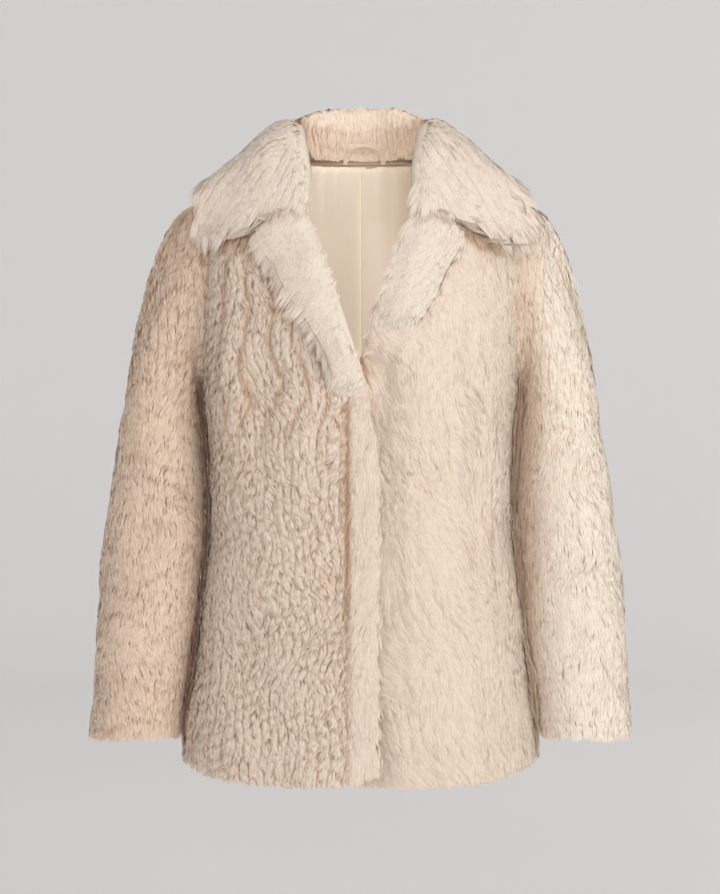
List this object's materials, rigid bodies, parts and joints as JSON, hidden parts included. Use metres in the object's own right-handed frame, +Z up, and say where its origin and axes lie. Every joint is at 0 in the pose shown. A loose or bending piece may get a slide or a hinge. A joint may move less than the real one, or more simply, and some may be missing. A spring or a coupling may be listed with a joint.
{
  "type": "faux fur coat",
  "caption": "Hip-length open-necked faux fur coat with a wide turned-down collar, notched lapels, set-in sleeves and a satin back lining, filled out in its worn shape.",
  "frame": {"origin": "middle of the neck opening, level with the points where the shoulder seams meet the neck, where the wearer's neck and shoulders hold the coat", "axes": "+Z up, the coat's longest extent; the front of the coat faces -Y, which is the shortest extent; +X is the wearer's left"},
  "size_m": [0.614, 0.2839, 0.7672],
  "materials": {
    "fur": "curly cream plush faux fur, 16 to 20 mm pile in tufts, matt with a soft sheen",
    "collar_fur": "the same faux fur brushed straighter and lighter on the collar and lapels",
    "lining_satin": "smooth cream satin lining",
    "loop_satin": "folded satin strap"
  },
  "bodies": {
    "root": {"back": "fur", "front_left": "fur", "front_right": "fur", "sleeve_left": "fur", "sleeve_right": "fur", "collar": "collar_fur", "lapel_left": "collar_fur", "lapel_right": "collar_fur", "lining_left": "lining_satin", "lining_right": "lining_satin", "hanger_loop": "loop_satin"}
  },
  "joints": []
}
